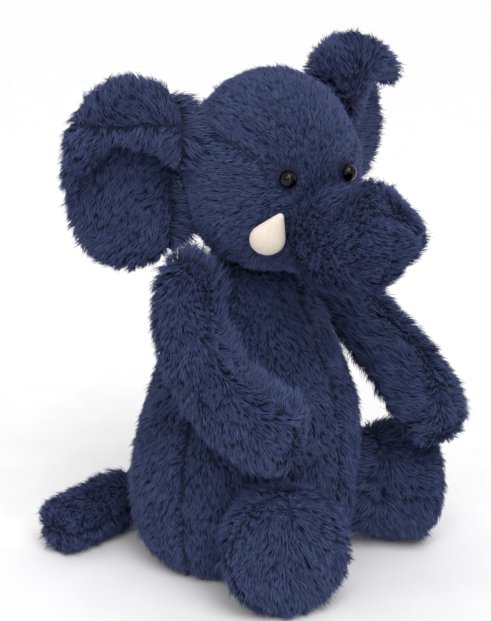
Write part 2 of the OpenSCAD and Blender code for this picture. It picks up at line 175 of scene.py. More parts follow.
@dataclass(frozen=True)
class Shade:
    """A colour as red, green and blue from 0 to 1, as a screen shows it."""

    red: float
    green: float
    blue: float

    def linear(self) -> tuple[float, float, float, float]:
        """The colour in the values that Blender's sockets take."""

        def one(c: float) -> float:
            return c / 12.92 if c <= 0.04045 else ((c + 0.055) / 1.055) ** 2.4

        return one(self.red), one(self.green), one(self.blue), 1.0


def new_material(name: str) -> tuple[bpy.types.Material, bpy.types.Node]:
    """A material with a Principled shader.

    Args:
        name: the material's name.
    Returns:
        The material and its shader node.
    """
    material = bpy.data.materials.new(name)
    material.use_nodes = True
    return material, material.node_tree.nodes["Principled BSDF"]


def ramp(
    tree: bpy.types.NodeTree, stops: list[tuple[float, Shade]]
) -> bpy.types.Node:
    """A colour ramp with the given stops."""
    node = tree.nodes.new("ShaderNodeValToRGB")
    marks = node.color_ramp.elements
    while len(marks) < len(stops):
        marks.new(0.5)
    for mark, (place, shade) in zip(marks, stops):
        mark.position = place
        mark.color = shade.linear()
    return node


def grain_group() -> bpy.types.NodeTree:
    """A shared shader group: fine grain from 0 to 1, in object space.

    Returns:
        The group, with inputs Scale and Detail and the output Grain.
    """
    name = "fibre_grain"
    if name in bpy.data.node_groups:
        return bpy.data.node_groups[name]
    group = bpy.data.node_groups.new(name, "ShaderNodeTree")
    group.interface.new_socket("Scale", in_out="INPUT", socket_type="NodeSocketFloat")
    group.interface.new_socket("Detail", in_out="INPUT", socket_type="NodeSocketFloat")
    group.interface.new_socket("Grain", in_out="OUTPUT", socket_type="NodeSocketFloat")
    start = group.nodes.new("NodeGroupInput")
    end = group.nodes.new("NodeGroupOutput")
    place = group.nodes.new("ShaderNodeTexCoord")
    noise = group.nodes.new("ShaderNodeTexNoise")
    group.links.new(place.outputs["Object"], noise.inputs["Vector"])
    group.links.new(start.outputs["Scale"], noise.inputs["Scale"])
    group.links.new(start.outputs["Detail"], noise.inputs["Detail"])
    group.links.new(noise.outputs["Fac"], end.inputs["Grain"])
    return group


def add_grain(
    tree: bpy.types.NodeTree, scale: float, detail: float
) -> bpy.types.NodeSocket:
    """Places the grain group in a material and returns its output."""
    node = tree.nodes.new("ShaderNodeGroup")
    node.node_tree = grain_group()
    node.inputs["Scale"].default_value = scale
    node.inputs["Detail"].default_value = detail
    return node.outputs["Grain"]


def add_bump(
    tree: bpy.types.NodeTree,
    shader: bpy.types.Node,
    height: bpy.types.NodeSocket,
    strength: float,
    distance: float,
) -> None:
    """Feeds a height to the shader's normal through a Bump node."""
    bump = tree.nodes.new("ShaderNodeBump")
    bump.inputs["Strength"].default_value = strength
    bump.inputs["Distance"].default_value = distance
    tree.links.new(height, bump.inputs["Height"])
    tree.links.new(bump.outputs["Normal"], shader.inputs["Normal"])


@dataclass(frozen=True)
class PileFinish:
    """Polyester pile: dark at its root as painted shade among the strands, lighter and bluer at its
    tip.
    """

    name: str
    root: Shade
    body: Shade
    tip: Shade
    worn: Shade

    def make(self) -> bpy.types.Material:
        """Builds the material. Along a strand V goes from root to tip, and U holds its own tint."""
        material, shader = new_material(self.name)
        tree = material.node_tree
        uv = tree.nodes.new("ShaderNodeUVMap")
        uv.uv_map = "OFBake"
        split = tree.nodes.new("ShaderNodeSeparateXYZ")
        tree.links.new(uv.outputs["UV"], split.inputs["Vector"])
        # Both ramps darken each strand towards its root: painted shade among the strands.
        plain = ramp(
            tree,
            [(0.0, self.root), (0.35, self.body), (0.8, self.tip), (1.0, self.tip)],
        )
        pale = ramp(
            tree,
            [(0.0, self.root), (0.3, self.body), (0.7, self.worn), (1.0, self.worn)],
        )
        tree.links.new(split.outputs["Y"], plain.inputs["Fac"])
        tree.links.new(split.outputs["Y"], pale.inputs["Fac"])
        mix = tree.nodes.new("ShaderNodeMix")
        mix.data_type = "RGBA"
        tree.links.new(split.outputs["X"], mix.inputs["Factor"])
        tree.links.new(plain.outputs["Color"], mix.inputs["A"])
        tree.links.new(pale.outputs["Color"], mix.inputs["B"])
        tree.links.new(mix.outputs["Result"], shader.inputs["Base Color"])
        shader.inputs["Roughness"].default_value = 0.62
        shader.inputs["Specular IOR Level"].default_value = 0.3
        shader.inputs["Sheen Weight"].default_value = 0.25
        shader.inputs["Sheen Roughness"].default_value = 0.5
        shader.inputs["Sheen Tint"].default_value = Shade(0.62, 0.66, 0.9).linear()
        return material


@dataclass(frozen=True)
class BackingFinish:
    """The knitted cloth that the pile stands on."""

    name: str
    deep: Shade
    light: Shade
    mottle: float = 900
    knit: float = 1600

    def make(self) -> bpy.types.Material:
        """Builds the material."""
        material, shader = new_material(self.name)
        tree = material.node_tree
        colours = ramp(tree, [(0.3, self.deep), (0.7, self.light)])
        tree.links.new(add_grain(tree, self.mottle, 3), colours.inputs["Fac"])
        tree.links.new(colours.outputs["Color"], shader.inputs["Base Color"])
        shader.inputs["Roughness"].default_value = 0.9
        shader.inputs["Specular IOR Level"].default_value = 0.2
        add_bump(tree, shader, add_grain(tree, self.knit, 2), 0.5, 0.4 * MM)
        return material


@dataclass(frozen=True)
class SuedetteFinish:
    """Brushed cream suedette with a short nap."""

    name: str
    light: Shade
    shadow: Shade
    mottle: float = 700
    nap: float = 2200

    def make(self) -> bpy.types.Material:
        """Builds the material."""
        material, shader = new_material(self.name)
        tree = material.node_tree
        colours = ramp(tree, [(0.35, self.shadow), (0.62, self.light)])
        tree.links.new(add_grain(tree, self.mottle, 5), colours.inputs["Fac"])
        tree.links.new(colours.outputs["Color"], shader.inputs["Base Color"])
        shader.inputs["Roughness"].default_value = 0.85
        shader.inputs["Specular IOR Level"].default_value = 0.25
        shader.inputs["Sheen Weight"].default_value = 0.4
        shader.inputs["Sheen Roughness"].default_value = 0.4
        add_bump(tree, shader, add_grain(tree, self.nap, 2), 0.35, 0.2 * MM)
        return material


@dataclass(frozen=True)
class GlossFinish:
    """Moulded plastic, with faint polishing marks."""

    name: str
    shade: Shade
    rough: float
    shine: float = 0.5
    spread: float = 0.06
    lighter: float = 1.08

    def make(self) -> bpy.types.Material:
        """Builds the material."""
        material, shader = new_material(self.name)
        tree = material.node_tree
        marks = tree.nodes.new("ShaderNodeMapRange")
        marks.inputs["To Min"].default_value = self.rough
        marks.inputs["To Max"].default_value = self.rough + self.spread
        tree.links.new(add_grain(tree, 500, 3), marks.inputs["Value"])
        tree.links.new(marks.outputs["Result"], shader.inputs["Roughness"])
        red, green, blue = self.shade.red, self.shade.green, self.shade.blue
        worn = Shade(red * self.lighter, green * self.lighter, blue * self.lighter)
        tint = ramp(tree, [(0.3, self.shade), (0.8, worn)])
        tree.links.new(add_grain(tree, 140, 2), tint.inputs["Fac"])
        tree.links.new(tint.outputs["Color"], shader.inputs["Base Color"])
        shader.inputs["Specular IOR Level"].default_value = self.shine
        return material


NAVY_PILE = PileFinish(
    "navy_pile",
    # The root shade is painted shade, where the strands shade each other.
    root=Shade(0.098, 0.12, 0.2),
    body=Shade(0.153, 0.193, 0.317),
    tip=Shade(0.215, 0.264, 0.422),
    worn=Shade(0.275, 0.325, 0.51),
)
NAVY_BACKING = BackingFinish("navy_backing", Shade(0.09, 0.105, 0.19), Shade(0.13, 0.15, 0.26))
BASE_CLOTH = BackingFinish("base_cloth", Shade(0.08, 0.1, 0.2), Shade(0.15, 0.18, 0.32))
POUCH_CLOTH = BackingFinish("pouch_cloth", Shade(0.55, 0.5, 0.42), Shade(0.7, 0.65, 0.56))
CREAM_SUEDETTE = SuedetteFinish("cream_suedette", Shade(0.87, 0.825, 0.77), Shade(0.85, 0.8, 0.74))
EYE_BLACK = GlossFinish("eye_black", Shade(0.008, 0.008, 0.01), 0.03, shine=0.24)
WASHER_WHITE = GlossFinish("washer_white", Shade(0.85, 0.85, 0.83), 0.4)


# ---- Seams between panels ----


@dataclass
class SeamMap:
    """Tells how far points are from the nearest seam between two panels."""

    panels: list[str]

    def __post_init__(self) -> None:
        """Builds a search tree for each panel."""
        self.trees = [tree_of(name) for name in self.panels]

    def measure(self, p: np.ndarray) -> tuple[np.ndarray, np.ndarray]:
        """Distance and way from the nearest seam.

        Args:
            p: points, one per row.
        Returns:
            Each point's distance from its nearest seam, and the way away from it.
        """
        no_seam = 1.0
        far = np.full(len(p), no_seam)
        away = np.zeros((len(p), 3))
        for row, place in enumerate(p):
            found = sorted(
                (tree.find_nearest(place)[3], number)
                for number, tree in enumerate(self.trees)
            )
            if len(found) > 1:
                hit = self.trees[found[1][1]].find_nearest(place)
                far[row] = hit[3]
                away[row] = place - np.array(hit[0])
        return far, away


# ---- Padded skins ----

# Share of its swelling by which a skin is first drawn in
DRAWN_IN = 0.6


@dataclass
class Skin:
    """A stuffed body: its panels remeshed, swollen by the filling and drawn in at the seams."""

    name: str
    nodes: list[str]
    voxel: float = 3.5 * MM
    inset: float = 0.3 * MM
    swell: float = 1.0 * MM
    groove: float = 1.2 * MM
    groove_width: float = 2.2 * MM
    smooth: int = 5
    pressure: float = 4.0
    frames: int = 20
    plug: tuple[float, float, float] | None = None
    reshape: Callable[[np.ndarray], np.ndarray] | None = None

    def copied(self) -> bpy.types.Object:
        """One object with copies of all the nodes' meshes, and the plug, merged."""
        deselect_all()
        copies = []
        for node in self.nodes:
            item = bpy.data.objects.new(self.name, frame["nodes"][node].data.copy())
            bpy.context.scene.collection.objects.link(item)
            copies.append(item)
        if self.plug is not None:
            radius, low, high = self.plug
            middle = (0, 0, (low + high) / 2)
            bpy.ops.mesh.primitive_cylinder_add(
                vertices=64, radius=radius, depth=high - low, location=middle
            )
            copies.append(bpy.context.active_object)
            bpy.ops.object.transform_apply(location=True, rotation=True, scale=True)
            deselect_all()
        for item in copies:
            item.select_set(True)
        bpy.context.view_layer.objects.active = copies[0]
        bpy.ops.object.join()
        body = bpy.context.view_layer.objects.active
        bpy.ops.object.mode_set(mode="EDIT")
        bpy.ops.mesh.select_all(action="SELECT")
        bpy.ops.mesh.remove_doubles(threshold=0.00001)
        bpy.ops.object.mode_set(mode="OBJECT")
        body.data.materials.clear()
        return body

    def outer_shell(self, body: bpy.types.Object) -> bpy.types.Object:
        """Keeps the largest closed shell of a remeshed body and removes the rest."""
        pick(body)
        bpy.ops.mesh.separate(type="LOOSE")
        parts = list(bpy.context.selected_objects)
        keep = max(parts, key=lambda o: o.dimensions.length)
        for part in parts:
            if part != keep:
                bpy.data.objects.remove(part, do_unlink=True)
        pick(keep)
        return keep

    def modify(self, body: bpy.types.Object, kind: str, **settings: object) -> None:
        """Adds a modifier and applies it."""
        modifier = body.modifiers.new(kind.lower(), kind)
        for key, value in settings.items():
            setattr(modifier, key, value)
        pick(body)
        bpy.ops.object.modifier_apply(modifier=modifier.name)

    def inflate(self, body: bpy.types.Object) -> None:
        """Swells the body by a short cloth simulation, with each point's move capped."""
        start = coordinates(body.data)
        cloth = body.modifiers.new("filling_pressure", "CLOTH")
        cloth.settings.use_pressure = True
        cloth.settings.uniform_pressure_force = self.pressure
        cloth.settings.effector_weights.gravity = 0
        cloth.settings.quality = 5
        cloth.collision_settings.use_collision = False
        cloth.point_cache.frame_start = 1
        cloth.point_cache.frame_end = self.frames
        scene = bpy.context.scene
        for number in range(1, self.frames + 1):
            scene.frame_set(number)
        pick(body)
        bpy.ops.object.modifier_apply(modifier=cloth.name)
        scene.frame_set(1)
        moved = coordinates(body.data)
        step = moved - start
        size = np.linalg.norm(step, axis=1, keepdims=True)
        step *= np.minimum(1, self.swell / np.maximum(size, 1e-9))
        set_coordinates(body.data, start + step)

    def build(self, seams: SeamMap | None) -> bpy.types.Object:
        """Makes the padded body.

        Args:
            seams: where its panels meet, or None where it has no seam.
        Returns:
            The finished object.
        """
        body = self.copied()
        self.modify(body, "REMESH", mode="VOXEL", voxel_size=self.voxel)
        body = self.outer_shell(body)
        body.name = self.name
        body.data.name = self.name
        self.modify(body, "SMOOTH", factor=0.5, iterations=self.smooth)
        mesh = body.data
        set_coordinates(
            mesh, coordinates(mesh) - normals(mesh) * (self.inset + self.swell * DRAWN_IN)
        )
        self.inflate(body)
        self.modify(body, "SUBSURF", levels=1, render_levels=1)
        if seams is not None and self.groove > 0:
            where = coordinates(mesh)
            far, _ = seams.measure(where)
            depth = self.groove * np.exp(-((far / self.groove_width) ** 2))
            set_coordinates(mesh, where - normals(mesh) * depth[:, None])
        if self.reshape is not None:
            set_coordinates(mesh, self.reshape(coordinates(mesh)))
        pick(body)
        bpy.ops.object.shade_smooth()
        return body


# ---- Pile ----


@dataclass
class Tufts:
    """Tufts rooted on a skin: a row for each, with all that tells its strands where to go."""

    place: np.ndarray
    normal: np.ndarray
    comb: np.ndarray
    length: np.ndarray
    lean: np.ndarray
    tint: np.ndarray

    def chosen(self, mask: np.ndarray) -> "Tufts":
        """Only the tufts that the mask keeps."""
        return Tufts(*(getattr(self, key)[mask] for key in self.__dataclass_fields__))


@dataclass(frozen=True)
class PileCut:
    """How a part's pile is cut, combed and dyed, with angles in degrees."""

    length: float = 6.0 * MM
    density: float = 2.4e6
    strands: int = 7
    radius: float = 1.0 * MM
    width: float = 0.42 * MM
    rise: float = 22.0
    fall: float = 76.0
    gather: float = 0.55
    swirl: float = 26.0
    stray: float = 13.0
    uneven: float = 0.18
    # Slow changes from place to place
    sway: float = 9.0
    length_swing: float = 0.1
    tint: float = 0.4
    tint_swing: float = 0.16
    # Chance changes from tuft to tuft
    tuft_jitter: float = 6.0
    tuft_tint: float = 0.12
    # Chance changes from strand to strand
    strand_lean: float = 5.0
    strand_bend: float = 0.07
    strand_roll: float = 0.75
    strand_tint: float = 0.13


def sample_surface(
    mesh: bpy.types.Mesh, per_area: float, rng: np.random.Generator
) -> tuple[np.ndarray, np.ndarray]:
    """Random places all over a mesh.

    Args:
        mesh: the surface.
        per_area: places per square metre.
        rng: the source of random numbers.
    Returns:
        The places and the smooth normals there.
    """
    mesh.calc_loop_triangles()
    count = len(mesh.loop_triangles)
    corner = np.empty(count * 3, np.int32)
    mesh.loop_triangles.foreach_get("vertices", corner)
    corner = corner.reshape(-1, 3)
    co, no = coordinates(mesh), normals(mesh)
    a, b, c = co[corner[:, 0]], co[corner[:, 1]], co[corner[:, 2]]
    area = np.linalg.norm(np.cross(b - a, c - a), axis=1) / 2
    total = int(area.sum() * per_area)
    at = (np.arange(total) + rng.uniform(size=total)) / total * area.sum()
    face = np.minimum(np.searchsorted(np.cumsum(area), at), count - 1)
    r, s = rng.uniform(size=total), rng.uniform(size=total)
    over = r + s > 1
    r[over], s[over] = 1 - r[over], 1 - s[over]
    share = np.stack([1 - r - s, r, s], axis=1)
    place = np.einsum("ij,ijk->ik", share, co[corner[face]])
    normal = unit(np.einsum("ij,ijk->ik", share, no[corner[face]]))
    return place, normal


def strand_corners(
    tufts: Tufts, cut: PileCut, rng: np.random.Generator
) -> tuple[np.ndarray, np.ndarray]:
    """Works out where every strand bends and how it is dyed.

    Args:
        tufts: where the strands stand.
        cut: their number, width, bend and spread.
        rng: the source of random numbers.
    Returns:
        Seven corners for each strand, from root to tip, and each strand's tint from 0 to 1.
    """
    count = len(tufts.place) * cut.strands

    def each(v: np.ndarray) -> np.ndarray:
        return np.repeat(v, cut.strands, axis=0)

    normal = each(tufts.normal)
    comb = each(tufts.comb)
    across = np.cross(normal, comb)
    turn = rng.uniform(0, 2 * math.pi, count)
    reach = cut.radius * np.sqrt(rng.uniform(size=count)) * rng.uniform(0.7, 1.25, count)
    offset = comb * (reach * np.cos(turn))[:, None] + across * (reach * np.sin(turn))[:, None]
    root = each(tufts.place) + offset
    veer = np.radians(rng.normal(0, cut.stray, count))
    heading = comb * np.cos(veer)[:, None] + across * np.sin(veer)[:, None]
    length = each(tufts.length) * rng.normal(1, cut.uneven * 0.6, count).clip(0.55, 1.4)
    lean = each(tufts.lean) + rng.normal(0, cut.strand_lean, count)
    bend = rng.normal(0, cut.strand_bend, count)[:, None] * each(tufts.length)[:, None] * across
    roll = rng.normal(0, cut.strand_roll, count)
    steps = 3
    sunk = 0.4 * MM
    floor_clear = 0.6 * MM
    steepest = 96
    points = [root - normal * sunk]
    angle_from = np.radians(cut.rise + lean)
    angle_to = np.radians(np.minimum(cut.fall + lean, steepest))
    for k in range(steps):
        a = angle_from + (angle_to - angle_from) * (k + 0.5) / steps
        step = normal * np.cos(a)[:, None] + heading * np.sin(a)[:, None]
        points.append(points[-1] + step * (length / steps)[:, None])
    track = []
    for k, p in enumerate(points):
        s = k / steps
        pull = -offset * cut.gather * s**1.4 + bend * math.sin(math.pi * s * 0.9)
        q = p + pull
        q[:, 2] = np.maximum(q[:, 2], floor_clear + sunk * s)
        track.append(q)
    widths = np.array([1.0, 0.95, 0.62])
    verts = np.empty((count, 2 * steps + 1, 3))
    for k in range(steps):
        way = unit(track[k + 1] - track[k])
        flat = unit(np.cross(way, normal))
        up = np.cross(flat, way)
        wide = flat * np.cos(roll)[:, None] + up * np.sin(roll)[:, None]
        half = wide * (cut.width * widths[k] / 2)
        verts[:, 2 * k] = track[k] - half
        verts[:, 2 * k + 1] = track[k] + half
    verts[:, -1] = track[steps]
    tint = np.clip(each(tufts.tint) + rng.normal(0, cut.strand_tint, count), 0.02, 0.98)
    return verts, tint


def strand_mesh(name: str, tufts: Tufts, cut: PileCut, seed: int) -> bpy.types.Object:
    """Builds the strands of all tufts as one mesh of tapering ribbons.

    Args:
        name: the object's name.
        tufts: where the strands stand.
        cut: their number, width, bend and spread.
        seed: for the random numbers.
    Returns:
        The object, with the UV map that its finish reads.
    """
    verts, tint = strand_corners(tufts, cut, np.random.default_rng(seed))
    count, corners_each = verts.shape[:2]
    corner = np.array([[0, 1, 3], [0, 3, 2], [2, 3, 5], [2, 5, 4], [4, 5, 6]])
    faces = (np.arange(count)[:, None, None] * corners_each + corner[None]).reshape(-1)
    # V runs from root to tip; the pile's finish darkens it towards the root as painted shade.
    level = np.array([0.02, 0.02, 0.34, 0.34, 0.68, 0.68, 0.98])
    sideways = np.array([-1, 1, -1, 1, -1, 1, 0]) * 0.012
    u = (tint[:, None] + sideways[None, :]).reshape(-1)
    v = np.broadcast_to(level, (count, corners_each)).reshape(-1)
    mesh = bpy.data.meshes.new(name)
    mesh.vertices.add(count * corners_each)
    mesh.vertices.foreach_set("co", verts.astype(np.float32).ravel())
    mesh.loops.add(len(faces))
    mesh.loops.foreach_set("vertex_index", faces.astype(np.int32))
    mesh.polygons.add(len(faces) // 3)
    mesh.polygons.foreach_set("loop_start", np.arange(0, len(faces), 3, dtype=np.int32))
    uv = mesh.uv_layers.new(name="OFBake")
    uv.uv.foreach_set(
        "vector", np.stack([u[faces], v[faces]], axis=1).astype(np.float32).ravel()
    )
    mesh.update(calc_edges=True)
    mesh.validate()
    mesh.polygons.foreach_set("use_smooth", np.ones(len(faces) // 3, bool))
    item = bpy.data.objects.new(name, mesh)
    bpy.context.scene.collection.objects.link(item)
    return item


# ---- Stuffed parts ----

SHORTEST_SHARE = 0.05
# How far from a seam the pile is still parted by it
SEAM_BAND = 3.2 * MM
# Share of its length that the pile loses right at a seam
SEAM_SHORTENING = 0.25
# Lengths of the waves in which a part's pile changes
SWIRL_WAVE = 22 * MM
CURL_WAVE = 8 * MM
LEAN_WAVE = 15 * MM
LENGTH_WAVE = 10 * MM
TINT_WAVE = 12 * MM


@dataclass
class StuffedPart:
    """A stuffed part of the toy: its padded skin and the pile on it."""

    name: str
    body: str
    slot: str
    panels: list[str]
    inner: list[str]
    cut: PileCut = field(default_factory=PileCut)
    skin: Skin | None = None
    fill: float = 0.7
    shares: int = 1
    clear_of: dict[str, float] = field(default_factory=dict)
    seam_parting: float = 1.0
    seam_bare: float = 0.0
    seed: int = 1

    def comb(self, p: np.ndarray, n: np.ndarray) -> np.ndarray:
        """The way that the pile lies at points p with normals n: down, if a part has no other."""
        return np.tile(np.array([0.0, 0.0, -1.0]), (len(p), 1))

    def trim(self, p: np.ndarray, n: np.ndarray) -> np.ndarray:
        """How much of its full length the pile has at points p, 0 where none grows."""
        return np.ones(len(p))

    def places(
        self, mesh: bpy.types.Mesh, seams: SeamMap, rng: np.random.Generator
    ) -> tuple[np.ndarray, ...]:
        """Chooses where tufts stand.

        Args:
            mesh: the skin's mesh.
            seams: where its panels meet.
            rng: the source of random numbers.
        Returns:
            Places, normals, shares of the full length, distances from the nearest seam, and the
            ways away from it.
        """
        thin = 1.0
        per_area = self.cut.density * thin / self.cut.strands
        place, normal = sample_surface(mesh, per_area, rng)
        size = self.trim(place, normal)
        keep = size > SHORTEST_SHARE
        for node, room in self.clear_of.items():
            tree = tree_of(node)
            near = [tree.find_nearest(q, room)[0] is not None for q in place]
            keep &= ~np.array(near)
        place, normal, size = place[keep], normal[keep], size[keep]
        far, away = seams.measure(place)
        keep = far > self.seam_bare
        return place[keep], normal[keep], size[keep], far[keep], away[keep]

    def plant(self, mesh: bpy.types.Mesh, seams: SeamMap) -> Tufts:
        """Plants tufts all over the skin.

        Args:
            mesh: the skin's mesh.
            seams: where its panels meet.
        Returns:
            The tufts.
        """
        cut = self.cut
        rng = np.random.default_rng(self.seed)
        place, normal, size, far, away = self.places(mesh, seams, rng)
        count = len(place)
        part = self.seam_parting * np.exp(-((far / SEAM_BAND) ** 2))[:, None]
        comb = flatten(self.comb(place, normal), normal)
        comb = flatten(comb * (1 - 0.45 * part) + flatten(away, normal) * 0.9 * part, normal)
        across = np.cross(normal, comb)
        veer = np.radians(
            cut.swirl * ripple(place, SWIRL_WAVE, self.seed + 11)
            + 0.6 * cut.swirl * ripple(place, CURL_WAVE, self.seed + 12)
            + rng.normal(0, cut.tuft_jitter, count)
        )
        comb = comb * np.cos(veer)[:, None] + across * np.sin(veer)[:, None]
        lean = cut.sway * ripple(place, LEAN_WAVE, self.seed + 13)
        lean = lean + rng.normal(0, cut.tuft_jitter, count)
        swing = cut.length_swing * ripple(place, LENGTH_WAVE, self.seed + 14)
        length = cut.length * size * (1 + swing)
        length *= rng.normal(1, cut.uneven, count).clip(0.6, 1.5)
        length *= 1 - SEAM_SHORTENING * part[:, 0]
        tint = cut.tint + cut.tint_swing * ripple(place, TINT_WAVE, self.seed + 15)
        tint = tint + rng.normal(0, cut.tuft_tint, count)
        return Tufts(place, normal, comb, length, lean, tint)

    def build(self) -> None:
        """Makes the skin and the pile, and puts them on the part's body."""
        seams = SeamMap(self.panels)
        skin = self.skin or Skin(self.name + "_skin", self.panels + self.inner)
        padded = skin.build(seams if len(self.panels) > 1 else None)
        padded.data.materials.append(FINISHES["backing"])
        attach(padded, self.body)
        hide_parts(*self.panels, *self.inner)
        tufts = self.plant(padded.data, seams)
        order = np.argsort(
            np.arctan2(
                tufts.place[:, 1] - tufts.place[:, 1].mean(),
                tufts.place[:, 0] - tufts.place[:, 0].mean(),
            ),
            kind="stable",
        )
        for number, rows in enumerate(np.array_split(order, self.shares)):
            mask = np.zeros(len(order), bool)
            mask[rows] = True
            label = f"{self.name}_pile" + (f"_{number + 1}" if self.shares > 1 else "")
            pile = strand_mesh(label, tufts.chosen(mask), self.cut, self.seed + number)
            pile.data.materials.append(FINISHES["pile"])
            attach(pile, self.body)
            log.info("%s: %d faces", label, len(pile.data.polygons))


@dataclass
class Torso(StuffedPart):
    """The pear-shaped torso, with its pile combed down all round."""

    seat: float = 6 * MM

    def trim(self, p: np.ndarray, n: np.ndarray) -> np.ndarray:
        """No pile under the torso, where it sits."""
        return np.where((n[:, 2] < -0.8) & (p[:, 2] < self.seat), 0.0, 1.0)


@dataclass
class Head(StuffedPart):
    """The round head: pile runs from the muzzle back over the crown and the cheeks."""

    muzzle_ahead: float = 44 * MM
    muzzle_down: float = 18 * MM
    crease_ahead: float = 6 * MM
    crease_up: float = 28 * MM
    eye_bare: float = 5.6 * MM
    eye_parting: float = 7 * MM
    crease_bare: float = 1.3 * MM
    crease_parting: float = 4.0 * MM

    def __post_init__(self) -> None:
        """Finds the face from the eyes, and where the brow creases end from the ears."""
        right, left = node_centre("eye_right"), node_centre("eye_left")
        low = np.min([node_points(n).min(axis=0) for n in self.panels], axis=0)
        high = np.max([node_points(n).max(axis=0) for n in self.panels], axis=0)
        self.centre = (low + high) / 2
        ahead = (right + left) / 2 - self.centre
        ahead[2] = 0
        self.ahead = unit(ahead)
        down = np.array([0, 0, self.muzzle_down])
        self.muzzle = self.centre + self.ahead * self.muzzle_ahead - down
        self.eyes = [right, left]
        rise = np.array([0, 0, self.crease_up]) + self.ahead * self.crease_ahead
        self.ears = [joint("ear_right_flap")[0] + rise, joint("ear_left_flap")[0] + rise]

    def brow(self, p: np.ndarray, width: float) -> tuple[np.ndarray, np.ndarray]:
        """The creases that run from each eye to its ear.

        Args:
            p: points, one per row.
            width: half width of a crease.
        Returns:
            How deep in a crease each point is, from 0 to 1, and the way out of it.
        """
        depth = np.zeros(len(p))
        out = np.zeros((len(p), 3))
        spoke = unit(p - self.centre)
        for eye, ear in zip(self.eyes, self.ears):
            a, b = unit(eye - self.centre), unit(ear - self.centre)
            pole = unit(np.cross(a, b))
            off = (p - self.centre) @ pole
            beside = np.cross(pole, a)
            share = np.arctan2(spoke @ beside, spoke @ a) / math.acos(float(a @ b))
            ends = np.clip((share - 0.14) / 0.1, 0, 1) * np.clip((1.1 - share) / 0.2, 0, 1)
            here = np.exp(-((off / width) ** 2)) * ends
            out += pole * (np.sign(off) * here)[:, None]
            depth = np.maximum(depth, here)
        return depth, out

    def comb(self, p: np.ndarray, n: np.ndarray) -> np.ndarray:
        """Away from the muzzle, falling at the cheeks, and parted at the brows and eyes."""
        way = unit(p - self.muzzle)
        side = np.abs(n @ np.cross(self.ahead, [0, 0, 1.0]))[:, None]
        way = way - self.ahead * 0.3 + np.array([0, 0, -1.0]) * 0.55 * side
        for eye in self.eyes:
            near = np.linalg.norm(p - eye, axis=1)[:, None]
            way = way + unit(p - eye) * 2.0 * np.exp(-((near / self.eye_parting) ** 2))
        return way + self.brow(p, self.crease_parting)[1] * 1.1

    def trim(self, p: np.ndarray, n: np.ndarray) -> np.ndarray:
        """Bare under the eyes, and short close round them and in the brow creases."""
        size = 1 - 0.8 * self.brow(p, self.crease_bare)[0]
        for eye in self.eyes:
            near = np.linalg.norm(p - eye, axis=1)
            short = np.clip((near / MM - 3) / 8, 0.4, 1)
            size = np.where(near < self.eye_bare, 0.0, size * short)
        return size


@dataclass
class Trunk(StuffedPart):
    """The trunk, its pile running out to the tip."""

    tip_band: float = 17 * MM

    def comb(self, p: np.ndarray, n: np.ndarray) -> np.ndarray:
        """Along the trunk, and outwards over the tip panel."""
        tip = node_centre("trunk_tip")
        root = node_centre("trunk_top")
        along = unit(tip - root)
        ahead = np.tile(along, (len(p), 1)) + np.array([0, 0, 0.1])
        out = unit(p - tip)
        near = np.exp(-((np.linalg.norm(p - tip, axis=1) / self.tip_band) ** 2))[:, None]
        return ahead * (1 - near) + out * near


@dataclass
class Ear(StuffedPart):
    """An ear: pile runs out from the root, and parts along the front of the rolled rim."""

    side: Side = Side.RIGHT
    parting: float = 27 * MM
    root_band: float = 8 * MM
    root_pull: float = 5.0 * MM
    root_length: float = 1.45

    def __post_init__(self) -> None:
        """Finds the ear's own frame from its joint."""
        self.origin, self.up = joint(f"ear_{self.side.value}_flap")
        middle = np.mean([node_centre(n) for n in self.panels], axis=0)
        self.out = flatten(middle - self.origin, self.up)
        back = np.cross(self.up, self.out)
        self.back = back if back[1] > 0 else -back
        self.skin.reshape = self.reach_in

    def reach_in(self, p: np.ndarray) -> np.ndarray:
        """Points of the skin, with those of the ear's root drawn in against the head."""
        reach = self.local(p)[0]
        pull = np.clip(1 - reach / self.root_band, 0, 1) * self.root_pull
        return p - self.out * pull[:, None]

    def local(self, p: np.ndarray) -> tuple[np.ndarray, np.ndarray, np.ndarray]:
        """Reach from the root, depth to the back and height, of points p."""
        q = p - self.origin
        return q @ self.out, q @ self.back, q @ self.up

    def comb(self, p: np.ndarray, n: np.ndarray) -> np.ndarray:
        """Out and down, but over the roll above the parting, and back to the head at the root."""
        reach, _, height = self.local(p)
        way = self.out * 0.75 - self.up * 0.75
        way = np.tile(way, (len(p), 1))
        front = n @ self.back < 0.2
        roll = (height > self.parting) & front
        way[roll] = self.up + self.out * 0.25
        top = (height > self.parting) & ~front
        way[top] = -self.up * 0.9 + self.out * 0.4
        root = reach < self.root_band
        way[root] = -self.out * 0.9 - self.up * 0.45
        return way

    def trim(self, p: np.ndarray, n: np.ndarray) -> np.ndarray:
        """Longer at the root, where the pile covers the joint with the head."""
        return np.where(self.local(p)[0] < self.root_band, self.root_length, 1.0)


